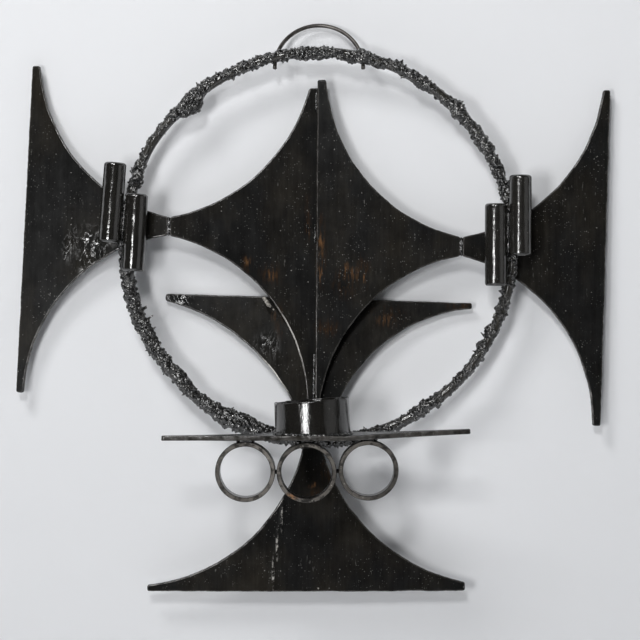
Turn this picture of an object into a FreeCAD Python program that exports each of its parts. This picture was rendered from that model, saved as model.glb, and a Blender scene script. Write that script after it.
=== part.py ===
import FreeCAD, Part
import math
import os

# A wall-hung candle sconce of torch-cut, welded steel.
# X runs to the viewer's right, Y towards the wall, Z up.
# The origin is the point on the wall behind the underside of the hanging loop's crown.

os.makedirs("parts", exist_ok=True)

# ---------------------------------------------------------------------------
# Driving dimensions, in millimetres and degrees
# ---------------------------------------------------------------------------

PLATE = 4.8                     # every plate is 3/16 in steel

HOOP_CENTRE = (0.0, -36.0, -222.0)
HOOP_RADIUS = 194.0             # to the bar's centreline
HOOP_BAR = 9.5                  # 3/8 in round bar
HOOP_SIDES = 8                  # flats round the bar
HOOP_STEPS = 42                 # straight steps round the hoop

CRUST_RADIUS = 6.5              # mean radius of the weld built up round the hoop's bar
CRUST_SECTIONS = 66
CRUST_SIDES = 8
CRUST_START = 147.0             # the bar is bare between these two angles
CRUST_END = 497.0
CRUST_RIPPLES = ((0.55, 17.0, 0.4), (0.45, 41.0, 1.9), (0.3, 67.0, 3.1))
CRUST_WANDER = 0.7              # how far the weld's centre strays from the bar's
CRUST_LUMPS = (                 # angle, extra radius, half width in degrees, step inwards
    (131.0, 4.4, 2.8, 3.0),
    (180.0, 1.0, 5.0, 0.0),
    (200.5, 3.4, 7.5, 3.0),
    (213.0, 1.5, 4.0, 1.0),
    (224.0, 1.3, 1.8, 1.6),
    (236.0, 1.4, 3.5, 0.0),
    (245.0, 4.0, 5.0, -0.2),
    (257.0, 1.8, 4.0, 0.0),
    (275.5, 1.8, 4.0, -1.0),
    (303.0, 1.2, 2.4, 1.8),
    (328.0, 1.5, 1.5, 1.9),
    (334.2, 2.2, 1.6, 3.2),
    (360.0, 1.0, 5.0, 0.0),
    (395.0, 1.6, 2.6, 0.3),
    (404.5, 2.4, 2.0, 0.0),
    (418.0, 1.4, 1.8, 0.5),
    (437.0, 1.4, 2.4, 0.0),
    (453.0, 0.8, 5.0, 0.6),
)

ROD = 22.2                      # 7/8 in round bar
ROD_END_BREAK = 1.3             # each rod's top rim is ground off
RODS = {                        # foot and top of each rod's axis
    "rod_left_outer": ((-208.3, -50.5, -219.0), (-202.2, -50.5, -139.5)),
    "rod_left_inner": ((-185.0, -51.5, -247.8), (-180.6, -51.5, -170.8)),
    "rod_right_inner": ((175.9, -49.6, -262.2), (175.9, -49.6, -180.2)),
    "rod_right_outer": ((200.2, -50.9, -232.4), (200.2, -50.9, -151.9)),
}

HANGER_WIRE = 4.0
HANGER_SIDES = 8
HANGER_STEPS = 22
HANGER_HALF_WIDTH = 44.2
HANGER_HEIGHT = 50.7            # crown to shoulders, down the loop's own tilted plane
HANGER_CROWN_OFF_WALL = 8.6
HANGER_LEG = 2.0
HANGER_TILT = 28.7              # the crown leans back to the wall

SHELF_OFF_WALL = 140.0          # the shelf's straight front edge
SHELF_TOP = -406.5
SHELF_BEND_X = 28.0             # the right arm is bent up from here
SHELF_BEND = 3.2

CUP_OUTSIDE = 73.0              # a slice of 2 1/2 in pipe
CUP_WALL = 3.05
CUP_X = -6.5
CUP_OFF_WALL = 101.0
CUP_RIM = -373.6                # the rim's height over the cup's centre
CUP_RIM_SLOPE = 4.6             # torch-cut, higher at the right

PIPE_OUTSIDE = 57.2             # slices of 2 1/4 in tube
PIPE_WALL = 4.2
PIPE_LENGTH = 25.0
PIPE_FRONT_OFF_WALL = 137.0
PIPE_CENTRES = {
    "pipe_ring_left": (-70.6, -441.2),
    "pipe_ring_centre": (-11.8, -442.0),
    "pipe_ring_right": (47.4, -439.8),
}

# Every plate is a piece of punching scrap: one straight edge and two hollow arcs that meet
# in a blunt neck. Each is placed by the two ends of its straight edge and its neck's middle.
BLADES = {
    "left_wing_plate": {
        "start": (-289.5, -10.0, -39.0), "end": (-305.0, -18.0, -369.0), "neck": (-151.5, -32.0, -202.0),
        "blunt": (8.0, 7.5), "neck_width": 19.0, "radii": (168.0, 168.0),
    },
    "right_wing_plate": {
        "start": (283.5, -18.0, -403.0), "end": (294.5, -10.0, -63.5), "neck": (143.5, -32.0, -222.5),
        "blunt": (8.5, 7.5), "neck_width": 19.5, "radii": (170.0, 174.0),
    },
    "centre_left_blade": {
        "start": (0.5, -15.0, -62.0), "end": (-3.0, -28.5, -385.0), "neck": (-149.5, -32.0, -202.5),
        "blunt": (10.5, 9.0), "neck_width": 19.0, "radii": (179.0, 173.0),
    },
    "centre_right_blade": {
        "start": (-4.0, -33.4, -381.5), "end": (-1.5, -20.0, -54.0), "neck": (141.5, -32.0, -222.5),
        "blunt": (4.5, 9.0), "neck_width": 19.0, "radii": (173.0, 174.0),
    },
    "leaf_plate": {
        "start": (-155.0, -9.0, -269.5), "end": (155.0, -9.0, -279.0), "neck": (-2.0, -27.0, -417.5),
        "blunt": (7.0, 6.0), "neck_width": 20.0, "radii": (200.0, 160.0),
    },
    "bottom_blade": {
        "start": (146.5, -24.0, -567.5), "end": (-172.5, -24.0, -568.0), "neck": (-7.0, -31.0, -422.5),
        "blunt": (8.5, 6.5), "neck_width": 19.0, "radii": (189.0, 178.0),
    },
    "shelf_plate": {
        "start": (-150.5, -SHELF_OFF_WALL, SHELF_TOP - PLATE / 2),
        "end": (144.5, -SHELF_OFF_WALL, SHELF_TOP - PLATE / 2),
        "neck": (-3.0, -41.0, SHELF_TOP - PLATE / 2),
        "blunt": (8.0, 8.0), "neck_width": 45.0, "radii": (172.0, 172.0),
    },
}
BOTTOM_BLADE_BOW = 6.0          # the bottom blade bows towards the viewer

WELD_SIDES = 4                  # flats round a small bead
WELD_TAPER = 0.35               # a bead's radius at its ends, as a share of its middle
SLIVER = 3.0                    # cubic millimetres; smaller offcuts of a weld are dropped
REACH = 400.0                   # longer than anything that a cutting block has to clear
DEPTH_OF_BEND = 40.0


def vector(point):
    return FreeCAD.Vector(*point)


def between(first, last, share):
    return vector(first) + (vector(last) - vector(first)) * share


# ---------------------------------------------------------------------------
# Plates
# ---------------------------------------------------------------------------

def hollow_arc(first, last, radius):
    """Arc from first to last, bowed towards the straight edge's middle at the local origin."""
    middle = (first + last) * 0.5
    chord = last - first
    rise = radius - math.sqrt(radius ** 2 - (chord.Length / 2) ** 2)
    inward = FreeCAD.Vector(-chord.y, chord.x, 0).normalize()
    if inward.dot(middle) > 0:
        inward = inward * -1
    return Part.Arc(first, middle + inward * rise, last).toShape()


def blade_frame(start, end, neck):
    """Placement of a blade's own axes, with its edge length, its height and its neck's offset."""
    along = vector(end) - vector(start)
    edge = along.Length
    along.normalize()
    middle = between(start, end, 0.5)
    reach = vector(neck) - middle
    neck_at = reach.dot(along)
    across = reach - along * neck_at
    height = across.Length
    across.normalize()
    through = along.cross(across)
    matrix = FreeCAD.Matrix(
        along.x, across.x, through.x, middle.x,
        along.y, across.y, through.y, middle.y,
        along.z, across.z, through.z, middle.z)
    return FreeCAD.Placement(matrix), edge, height, neck_at


def blade_outline(edge, height, neck_at, spec):
    """Flat outline in the blade's own axes: x along the straight edge, y towards the neck."""
    half = edge / 2
    half_neck = spec["neck_width"] / 2
    start_blunt, end_blunt = spec["blunt"]
    start_radius, end_radius = spec["radii"]
    corner = FreeCAD.Vector
    start_foot = corner(-half, 0, 0)
    end_foot = corner(half, 0, 0)
    end_tip = corner(half, end_blunt, 0)
    neck_end = corner(neck_at + half_neck, height, 0)
    neck_start = corner(neck_at - half_neck, height, 0)
    start_tip = corner(-half, start_blunt, 0)
    sides = [
        Part.LineSegment(start_foot, end_foot).toShape(),
        Part.LineSegment(end_foot, end_tip).toShape(),
        hollow_arc(end_tip, neck_end, end_radius),
        Part.LineSegment(neck_end, neck_start).toShape(),
        hollow_arc(neck_start, start_tip, start_radius),
        Part.LineSegment(start_tip, start_foot).toShape(),
    ]
    return Part.Face(Part.Wire(sides))


def prism(face, direction):
    return face.extrude(direction)


def flat_blade(spec):
    placement, edge, height, neck_at = blade_frame(spec["start"], spec["end"], spec["neck"])
    outline = blade_outline(edge, height, neck_at, spec)
    outline.translate(FreeCAD.Vector(0, 0, -PLATE / 2))
    plate = prism(outline, FreeCAD.Vector(0, 0, PLATE))
    plate.Placement = placement
    return plate


def bent_blade(spec, section):
    """Blade whose thickness follows a section, a face across its edge, instead of a plane."""
    placement, edge, height, neck_at = blade_frame(spec["start"], spec["end"], spec["neck"])
    outline = blade_outline(edge, height, neck_at, spec)
    outline.translate(FreeCAD.Vector(0, 0, -DEPTH_OF_BEND))
    column = prism(outline, FreeCAD.Vector(0, 0, 2 * DEPTH_OF_BEND))
    sheet = prism(section, FreeCAD.Vector(0, height + 2, 0))
    sheet.translate(FreeCAD.Vector(0, -1, 0))
    plate = column.common(sheet).Solids[0]
    plate.Placement = placement
    return plate


def bowed_section(rise):
    """Section of a plate that bows by rise to its local -z side over the blade's width."""
    half = REACH / 2
    faces = []
    for side in (-PLATE / 2, PLATE / 2):
        ends = [FreeCAD.Vector(x, 0, side) for x in (-half, half)]
        faces.append(Part.Arc(ends[0], FreeCAD.Vector(0, 0, side - rise), ends[1]).toShape())
    joints = [
        Part.LineSegment(FreeCAD.Vector(x, 0, -PLATE / 2), FreeCAD.Vector(x, 0, PLATE / 2)).toShape()
        for x in (half, -half)
    ]
    return Part.Face(Part.Wire([faces[0], joints[0], faces[1], joints[1]]))


def cranked_section(bend_x, angle, top, bottom):
    """Section of a sheet that is flat to bend_x and rises beyond it, from bottom to top."""
    rise = (REACH - bend_x) * math.tan(math.radians(angle))
    corners = [
        (-REACH, bottom), (bend_x, bottom), (REACH, bottom + rise),
        (REACH, top + rise), (bend_x, top), (-REACH, top), (-REACH, bottom),
    ]
    return Part.Face(Part.makePolygon([FreeCAD.Vector(x, 0, z) for x, z in corners]))


def shelf_plate():
    spec = BLADES["shelf_plate"]
    middle_x = (spec["start"][0] + spec["end"][0]) / 2
    return bent_blade(spec, cranked_section(SHELF_BEND_X - middle_x, SHELF_BEND, PLATE / 2, -PLATE / 2))


def below_shelf():
    """Everything under the shelf's top face, for cutting feet that stand on it."""
    face = cranked_section(SHELF_BEND_X, SHELF_BEND, 0, -REACH)
    face.translate(FreeCAD.Vector(0, 0, SHELF_TOP))
    return prism(face, FreeCAD.Vector(0, -REACH, 0))


# ---------------------------------------------------------------------------
# Bars, rods and pipe slices
# ---------------------------------------------------------------------------

def many_sided(radius, sides, at, rotation):
    """Corners of a ring with that many equal sides, square to the rotated Z axis."""
    corners = []
    for index in range(sides):
        angle = 2 * math.pi * index / sides
        corner = FreeCAD.Vector(math.cos(angle) * radius, math.sin(angle) * radius, 0)
        corners.append(at + rotation.multVec(corner))
    return corners


def flat_face(corners):
    return Part.Face(Part.makePolygon(corners + corners[:1]))


def skinned(rings, closed=False):
    """Solid with flat three-sided faces from ring to ring, closed on itself or with flat ends."""
    faces = []
    following = rings[1:] + rings[:1] if closed else rings[1:]
    for ring, onwards in zip(rings, following):
        for index in range(len(ring)):
            after = (index + 1) % len(ring)
            faces.append(flat_face([ring[index], ring[after], onwards[after]]))
            faces.append(flat_face([ring[index], onwards[after], onwards[index]]))
    if not closed:
        faces.append(flat_face(rings[0]))
        faces.append(flat_face(rings[-1]))
    shell = Part.makeShell(faces)
    shell.sewShape()
    solid = Part.makeSolid(shell)
    if solid.Volume < 0:
        solid.reverse()
    return solid


def main_ring():
    """Round bar bent to a full hoop, in short straight steps."""
    rings = []
    for index in range(HOOP_STEPS):
        degrees = 360 * index / HOOP_STEPS
        turn = FreeCAD.Rotation(FreeCAD.Vector(0, 1, 0), -degrees)
        rings.append(many_sided(HOOP_BAR / 2, HOOP_SIDES, hoop_point(degrees, HOOP_RADIUS), turn))
    return skinned(rings, closed=True)


def rod(foot, top):
    """Round bar, sawn square at its foot and broken round its top edge."""
    axis = vector(top) - vector(foot)
    bar = Part.makeCylinder(ROD / 2, axis.Length, vector(foot), axis)
    rims = [edge for edge in bar.Edges if isinstance(edge.Curve, Part.Circle)]
    top_rims = [rim for rim in rims if rim.Curve.Center.isEqual(vector(top), 0.01)]
    return bar.makeChamfer(ROD_END_BREAK, top_rims)


def hanger_point(across, down):
    """Point in the hanger's tilted plane, across from its middle and down from its crown."""
    tilt = math.radians(HANGER_TILT)
    return FreeCAD.Vector(
        across,
        -HANGER_CROWN_OFF_WALL - down * math.sin(tilt),
        HANGER_WIRE / 2 - down * math.cos(tilt))


def hanger_loop():
    """Half an oval of wire with short straight legs, in short straight steps."""
    points = [hanger_point(-HANGER_HALF_WIDTH, HANGER_HEIGHT + HANGER_LEG)]
    for index in range(HANGER_STEPS + 1):
        angle = math.pi * (index / HANGER_STEPS - 0.5)
        down = HANGER_HEIGHT * (1 - math.cos(angle))
        points.append(hanger_point(HANGER_HALF_WIDTH * math.sin(angle), down))
    points.append(hanger_point(HANGER_HALF_WIDTH, HANGER_HEIGHT + HANGER_LEG))
    square_to_loop = (points[1] - points[0]).cross(FreeCAD.Vector(1, 0, 0))
    last = len(points) - 1
    rings = []
    for index, at in enumerate(points):
        ahead = points[min(index + 1, last)] - points[max(index - 1, 0)]
        turn = FreeCAD.Rotation(square_to_loop, FreeCAD.Vector(), ahead, "ZXY")
        rings.append(many_sided(HANGER_WIRE / 2, HANGER_SIDES, at, turn))
    return skinned(rings)


def pipe_ring(centre_x, centre_z):
    front = FreeCAD.Vector(centre_x, -PIPE_FRONT_OFF_WALL, centre_z)
    axis = FreeCAD.Vector(0, 1, 0)
    outside = Part.makeCylinder(PIPE_OUTSIDE / 2, PIPE_LENGTH, front, axis)
    return outside.cut(Part.makeCylinder(PIPE_OUTSIDE / 2 - PIPE_WALL, PIPE_LENGTH, front, axis))


def cup_foot():
    return FreeCAD.Vector(CUP_X, -CUP_OFF_WALL, SHELF_TOP)


def candle_cup():
    """Slice of pipe that stands on the shelf, its rim cut on a slope by the torch."""
    spare = 20.0
    up = FreeCAD.Vector(0, 0, 1)
    start = cup_foot() - up * spare
    length = CUP_RIM - SHELF_TOP + 2 * spare
    outside = Part.makeCylinder(CUP_OUTSIDE / 2, length, start, up)
    inside = Part.makeCylinder(CUP_OUTSIDE / 2 - CUP_WALL, length, start, up)
    above = Part.makeBox(REACH, REACH, REACH, FreeCAD.Vector(CUP_X - REACH / 2, -REACH, CUP_RIM))
    above.rotate(FreeCAD.Vector(CUP_X, -CUP_OFF_WALL, CUP_RIM), FreeCAD.Vector(0, 1, 0), -CUP_RIM_SLOPE)
    return outside.cut([inside, below_shelf(), above]).Solids[0]


# ---------------------------------------------------------------------------
# Weld metal
# ---------------------------------------------------------------------------

def bead(path, radius, count, reference, sides=WELD_SIDES):
    """Weld laid along a path, in many-sided rings square to it."""
    step = 0.5 / count
    rings = []
    for index in range(count):
        share = index / (count - 1)
        ahead = path(min(share + step, 1.0)) - path(max(share - step, 0.0))
        turn = FreeCAD.Rotation(vector(reference), FreeCAD.Vector(), ahead, "ZXY")
        rings.append(many_sided(radius(share), sides, path(share), turn))
    return skinned(rings)


def straight_bead(first, last, radius, reference=(0, 1, 0), sides=WELD_SIDES):
    """Short straight bead, rippled as the puddles froze, thin where it starts and stops."""
    length = (vector(last) - vector(first)).Length
    count = max(4, int(length / 6) + 2)

    def swell(share):
        body = 1 - (1 - WELD_TAPER) * abs(2 * share - 1) ** 4
        return radius * body * (1 + 0.06 * math.cos(math.pi * (count - 1) * share))

    return bead(lambda share: between(first, last, share), swell, count, reference, sides)


def trimmed(weld, neighbours):
    """Weld metal with its neighbours cut out, as one shape of all the pieces that are left."""
    touching = [other for other in neighbours if other.BoundBox.intersect(weld.BoundBox)]
    left = weld.cut(touching)
    kept = [solid for solid in left.Solids if solid.Volume > SLIVER]
    return kept[0] if len(kept) == 1 else Part.makeCompound(kept)


def hoop_point(degrees, radius):
    angle = math.radians(degrees)
    return vector(HOOP_CENTRE) + FreeCAD.Vector(math.cos(angle), 0, math.sin(angle)) * radius


def lump_share(degrees, centre, half_width):
    return math.exp(-((degrees - centre) / half_width) ** 2)


def crust_angle(share):
    return CRUST_START + (CRUST_END - CRUST_START) * share


def crust_radius(share):
    degrees = crust_angle(share)
    angle = math.radians(degrees)
    ripple = sum(size * math.sin(turns * angle + phase) for size, turns, phase in CRUST_RIPPLES)
    lumps = sum(extra * lump_share(degrees, at, wide) for at, extra, wide, _ in CRUST_LUMPS)
    ends = min(share, 1 - share) * (CRUST_END - CRUST_START)
    body = CRUST_RADIUS + ripple + lumps
    bare = HOOP_BAR / 2 + 0.2
    return bare + (body - bare) * min(1.0, ends / 3)


def crust_path(share):
    degrees = crust_angle(share)
    angle = math.radians(degrees)
    inward = sum(step * lump_share(degrees, at, wide) for at, _, wide, step in CRUST_LUMPS)
    stray = CRUST_WANDER * math.sin(29 * angle + 0.8)
    return hoop_point(degrees, HOOP_RADIUS - inward + stray)


def ring_weld_crust(neighbours):
    """Weld built up in lumps right round the hoop, but for one bare stretch."""
    weld = bead(crust_path, crust_radius, CRUST_SECTIONS, (0, 1, 0), CRUST_SIDES)
    return trimmed(weld, neighbours)


def tip_weld(x, top_z, bottom_z, neighbours):
    """Bead that fills the gap between two necks and stands proud on both faces."""
    off_wall = 32.0
    return trimmed(straight_bead((x, -off_wall, top_z), (x, -off_wall, bottom_z), 3.6), neighbours)


def spine_weld(neighbours):
    """Tacks in the corner where the right blade's edge laps over the left blade's face."""
    top = (-2.6, -18.0, -56.0)
    bottom = (-5.2, -31.4, -384.0)
    beads = []
    for first, last in ((0.03, 0.09), (0.44, 0.49), (0.84, 0.97)):
        beads.append(straight_bead(between(top, bottom, first), between(top, bottom, last), 2.2))
    welds = [trimmed(run, neighbours) for run in beads]
    return Part.makeCompound([solid for weld in welds for solid in weld.Solids])


def leaf_spine_weld(neighbours):
    """Weld behind the blades' lower ends, onto the leaf."""
    return trimmed(straight_bead((-3.5, -27.5, -368.0), (-3.5, -28.5, -391.0), 4.5), neighbours)


def cup_weld(neighbours):
    """Bead round the foot of the candle cup."""
    ring_radius = CUP_OUTSIDE / 2 + 0.4

    def path(share):
        angle = math.radians(-80 + 350 * share)
        return cup_foot() + FreeCAD.Vector(math.cos(angle), math.sin(angle), 0) * ring_radius

    def swell(share):
        return 2.1 + 0.35 * math.sin(54 * share)

    return trimmed(bead(path, swell, 18, (0, 0, 1)), neighbours)


def pipe_ring_welds(neighbours):
    """Tacks that hang the pipe slices under the shelf and join them side by side."""
    front = -PIPE_FRONT_OFF_WALL + 4
    back = front + PIPE_LENGTH - 8
    half = PIPE_OUTSIDE / 2
    places = list(PIPE_CENTRES.values())
    seams = []
    for x, z in places:
        seams.append((x - 7, z + half + 0.4))
        seams.append((x + 7, z + half + 0.4))
    for left, right in zip(places, places[1:]):
        seams.append(((left[0] + right[0]) / 2, (left[1] + right[1]) / 2))
    welds = []
    for x, z in seams:
        run = straight_bead((x, front, z), (x, back, z), 2.4, (0, 0, 1), 4)
        welds.extend(trimmed(run, neighbours).Solids)
    return Part.makeCompound(welds)


def rod_welds(outer, inner, neighbours):
    """Filler between the two rods of a pair, and behind them onto the hoop and the wing."""
    (outer_foot, outer_top), (inner_foot, inner_top) = RODS[outer], RODS[inner]
    low = max(outer_foot[2], inner_foot[2]) + 4
    high = min(outer_top[2], inner_top[2]) - 6

    def midway(z, off_wall):
        xs = []
        for foot, top in ((outer_foot, outer_top), (inner_foot, inner_top)):
            share = (z - foot[2]) / (top[2] - foot[2])
            xs.append(foot[0] + (top[0] - foot[0]) * share)
        return (sum(xs) / 2, -off_wall, z)

    groove = straight_bead(midway(low, 50.5), midway(high, 50.5), 3.4)
    behind = straight_bead(midway(low + 4, 36.5), midway(high - 4, 36.5), 7.5)
    pieces = trimmed(groove, neighbours).Solids + trimmed(behind, neighbours).Solids
    return Part.makeCompound(pieces)


def hanger_welds(neighbours):
    """Weld where each leg of the loop lies against the back of the hoop."""
    pieces = []
    for side in (-1, 1):
        high = hanger_point(side * (HANGER_HALF_WIDTH - 1.5), 35.0)
        low = hanger_point(side * HANGER_HALF_WIDTH, 47.0)
        outwards = FreeCAD.Vector(side * 2.5, -0.5, 0)
        run = straight_bead(high + outwards, low + outwards, 3.6, (1, 0, 0))
        pieces.extend(trimmed(run, neighbours).Solids)
    return Part.makeCompound(pieces)


def shelf_weld(neighbours):
    """Bead along the shelf's back edge, where it meets the front of the hoop."""
    half = BLADES["shelf_plate"]["neck_width"] / 2 - 2
    x = BLADES["shelf_plate"]["neck"][0]
    run = straight_bead((x - half, -44.0, -404.8), (x + half, -44.0, -404.8), 4.2)
    return trimmed(run, neighbours)


def bottom_blade_weld(neighbours):
    """Bead over the bottom blade's neck, up to the underside of the hoop."""
    run = straight_bead((-17.5, -33.5, -423.0), (3.5, -33.5, -423.0), 5.2)
    return trimmed(run, neighbours)


# ---------------------------------------------------------------------------
# The object
# ---------------------------------------------------------------------------

def build():
    nodes = {"main_ring": main_ring()}
    for name, spec in BLADES.items():
        if name not in ("bottom_blade", "shelf_plate"):
            nodes[name] = flat_blade(spec)
    nodes["bottom_blade"] = bent_blade(BLADES["bottom_blade"], bowed_section(BOTTOM_BLADE_BOW))
    nodes["shelf_plate"] = shelf_plate()
    nodes["candle_cup"] = candle_cup()
    for name, (centre_x, centre_z) in PIPE_CENTRES.items():
        nodes[name] = pipe_ring(centre_x, centre_z)
    for name, (foot, top) in RODS.items():
        nodes[name] = rod(vector(foot), vector(top))
    nodes["hanger_loop"] = hanger_loop()

    def add_weld(name, make, *arguments):
        nodes[name] = make(*arguments, list(nodes.values()))

    add_weld("ring_weld_crust", ring_weld_crust)
    add_weld("left_tip_weld", tip_weld, -150.5, -193.5, -211.0)
    add_weld("right_tip_weld", tip_weld, 142.5, -213.5, -231.5)
    add_weld("spine_weld", spine_weld)
    add_weld("leaf_spine_weld", leaf_spine_weld)
    add_weld("cup_weld", cup_weld)
    add_weld("pipe_ring_welds", pipe_ring_welds)
    add_weld("left_rod_welds", rod_welds, "rod_left_outer", "rod_left_inner")
    add_weld("right_rod_welds", rod_welds, "rod_right_outer", "rod_right_inner")
    add_weld("hanger_welds", hanger_welds)
    add_weld("shelf_weld", shelf_weld)
    add_weld("bottom_blade_weld", bottom_blade_weld)
    return nodes


def write_parts():
    for name, shape in build().items():
        shape.exportStep(f"parts/{name}.step")
        print(f"{name}: {len(shape.Solids)} solids, {shape.Volume / 1000:.2f} cm3, valid {shape.isValid()}")


write_parts()
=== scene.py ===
import math

import bmesh
import bpy
import numpy as np
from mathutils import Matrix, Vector, noise


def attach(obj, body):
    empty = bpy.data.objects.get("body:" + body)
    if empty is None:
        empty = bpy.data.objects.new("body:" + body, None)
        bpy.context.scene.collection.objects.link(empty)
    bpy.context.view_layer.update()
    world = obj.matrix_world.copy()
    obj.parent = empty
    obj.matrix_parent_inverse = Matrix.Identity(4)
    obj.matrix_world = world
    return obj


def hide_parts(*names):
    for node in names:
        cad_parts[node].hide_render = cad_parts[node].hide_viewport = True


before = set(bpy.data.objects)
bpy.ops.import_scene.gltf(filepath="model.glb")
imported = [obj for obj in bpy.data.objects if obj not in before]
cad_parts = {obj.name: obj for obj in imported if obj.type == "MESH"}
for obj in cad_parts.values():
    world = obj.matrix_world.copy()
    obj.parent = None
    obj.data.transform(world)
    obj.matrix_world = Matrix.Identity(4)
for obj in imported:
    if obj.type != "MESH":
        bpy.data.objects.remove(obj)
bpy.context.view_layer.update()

bl_info = {
    "name": "Torch-cut candle sconce",
    "version": (1, 0, 0),
    "blender": (4, 5, 0),
    "location": "3D View > Sidebar > Sconce",
    "description": "Builds a candle sconce of torch-cut, welded steel on a plain wall",
    "category": "Object",
}

MM = 0.001

SHELF_CRANK = (28.0, 3.2)       # where the shelf's right arm is bent up, in mm, and by how many degrees

# Each blade is placed by the ends of its straight edge and the middle of its neck, in mm. Its tips
# and neck are cut blunt, to the widths given, with a hollow arc between the neck and either tip.
# A bow stands the blade's middle forward, a ridge runs between two places given by x and z, and a
# crank bends an arm up.
BLADES = {
    "left_wing_plate": {
        "start": (-289.5, -10.0, -39.0), "end": (-305.0, -18.0, -369.0), "neck": (-151.5, -32.0, -202.0),
        "blunt": (8.0, 7.5), "neck_width": 19.0, "radii": (168.0, 168.0),
    },
    "right_wing_plate": {
        "start": (283.5, -18.0, -403.0), "end": (294.5, -10.0, -63.5), "neck": (143.5, -32.0, -222.5),
        "blunt": (8.5, 7.5), "neck_width": 19.5, "radii": (170.0, 174.0),
    },
    "centre_left_blade": {
        "start": (0.5, -15.0, -62.0), "end": (-3.0, -28.5, -385.0), "neck": (-149.5, -32.0, -202.5),
        "blunt": (10.5, 9.0), "neck_width": 19.0, "radii": (179.0, 173.0),
    },
    "centre_right_blade": {
        "start": (-4.0, -33.4, -381.5), "end": (-1.5, -20.0, -54.0), "neck": (141.5, -32.0, -222.5),
        "blunt": (4.5, 9.0), "neck_width": 19.0, "radii": (173.0, 174.0),
    },
    "leaf_plate": {
        "start": (-155.0, -9.0, -269.5), "end": (155.0, -9.0, -279.0), "neck": (-2.0, -27.0, -417.5),
        "blunt": (7.0, 6.0), "neck_width": 20.0, "radii": (200.0, 160.0),
    },
    "bottom_blade": {
        "start": (146.5, -24.0, -567.5), "end": (-172.5, -24.0, -568.0), "neck": (-7.0, -31.0, -422.5),
        "blunt": (8.5, 6.5), "neck_width": 19.0, "radii": (189.0, 178.0), "bow": 6.0,
        "ridge": ((-35.5, -478.0), (-48.5, -566.0)),
    },
    "shelf_plate": {
        "start": (-150.5, -140.0, -408.9), "end": (144.5, -140.0, -408.9), "neck": (-3.0, -41.0, -408.9),
        "blunt": (8.0, 8.0), "neck_width": 45.0, "radii": (172.0, 172.0), "crank": SHELF_CRANK,
    },
}

HOOP_MIDDLE = (0.0, -36.0, -222.0)

# The weld round the hoop: angle in degrees, reach outwards and reach inwards of the bar's
# centreline in mm.
CRUST_REACH = (
    (0, 6.4, 6.8), (14, 6.4, 6.8), (30, 7.4, 6.8), (34, 8.0, 8.8), (38, 6.0, 5.8), (42, 5.2, 9.0),
    (44, 9.2, 9.0), (46, 9.2, 7.0), (48, 6.0, 6.8), (54, 5.7, 6.3), (58, 7.4, 8.6), (60, 7.2, 6.0),
    (62, 6.2, 5.8), (66, 9.2, 5.6), (68, 8.0, 5.0), (72, 5.4, 7.4), (75, 7.0, 6.3), (78, 8.8, 8.2),
    (80, 5.6, 9.6), (82, 4.6, 7.8), (86, 5.8, 6.8), (90, 6.0, 8.2), (95, 6.8, 8.4), (102, 6.2, 5.8),
    (106, 6.4, 5.6), (110, 5.8, 7.8), (114, 6.8, 6.0), (118, 6.4, 6.0), (121, 7.0, 5.2), (124, 9.2, 3.8),
    (128, 8.4, 6.4), (130, 10.2, 13.6), (132, 8.0, 15.2), (134, 8.0, 11.8), (136, 7.4, 9.2), (138, 8.0, 5.6),
    (140, 7.2, 3.6), (144, 7.7, 2.9), (148, 7.4, 2.8), (150, 8.6, 2.4), (154, 7.6, 3.4), (158, 8.2, 4.8),
    (160, 7.0, 7.8), (163, 6.4, 4.2), (170, 6.2, 6.2), (184, 7.0, 7.4), (194, 7.8, 8.2), (200, 7.8, 8.8),
    (205, 7.6, 8.8), (208, 7.4, 8.6), (214, 7.2, 9.0), (218, 6.8, 8.8), (224, 6.5, 10.2), (228, 6.8, 6.9),
    (232, 6.8, 6.9), (236, 8.4, 8.0), (240, 10.4, 8.8), (244, 11.0, 11.2), (248, 11.0, 11.4), (252, 9.4, 9.2),
    (258, 8.6, 7.6), (264, 8.2, 6.6), (270, 7.2, 6.6), (276, 8.6, 6.0), (284, 9.4, 6.2), (290, 9.2, 4.9),
    (296, 5.8, 4.8), (300, 7.0, 8.0), (304, 5.7, 9.4), (307, 6.4, 7.8), (310, 5.4, 5.6), (316, 5.4, 6.9),
    (322, 6.1, 5.4), (326, 5.9, 6.0), (328, 5.7, 9.6), (330, 5.1, 7.0), (332, 5.2, 6.6), (334, 5.2, 11.8),
    (336, 5.8, 6.0), (341, 6.2, 8.0), (346, 5.4, 7.0), (352, 6.0, 6.6), (360, 6.4, 6.8),
)

# The weld's core is a row of droplets, with spatter over it and drips that stand out from it.
CORE_STEP = 0.42                # degrees from one droplet of the core to the next
CORE_LIMIT = 5.4                # largest radius of such a droplet, in mm
SPATTER_ROOM = 1.9              # left over the core for the spatter, in mm
SPATTER_DEPTH = 7.4             # largest reach of the spatter forwards and backwards, in mm
SPATTER_DROPS, SHORT_DRIPS = 4200, 44
LONG_DRIPS = (                  # angle, outwards (1) or inwards (-1), and reach in mm
    (203.0, -1, 14.6), (199.5, -1, 11.5), (206.5, -1, 12.0), (331.5, -1, 10.5), (249.0, 1, 12.5),
)
BARE_AT, BARE_SPREAD, BARE_STEP = 149.0, 9.0, 1.9   # where the bar shows, in degrees, and its step in mm

ROD_ROUNDING = 3.0              # of the rods' ends, in mm
ROD_END_RING = 3.0              # from the rounding to the inner ring of points on each end, in mm
ROD_ROWS, ROD_SEGMENTS, ROD_WANDER = 40, 96, 0.07
RODS = {                        # foot and top of each rod's axis, in mm
    "rod_left_outer": ((-208.3, -50.5, -219.0), (-202.2, -50.5, -139.5)),
    "rod_left_inner": ((-185.0, -51.5, -247.8), (-180.6, -51.5, -170.8)),
    "rod_right_inner": ((175.9, -49.6, -262.2), (175.9, -49.6, -180.2)),
    "rod_right_outer": ((200.2, -50.9, -232.4), (200.2, -50.9, -151.9)),
}

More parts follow.
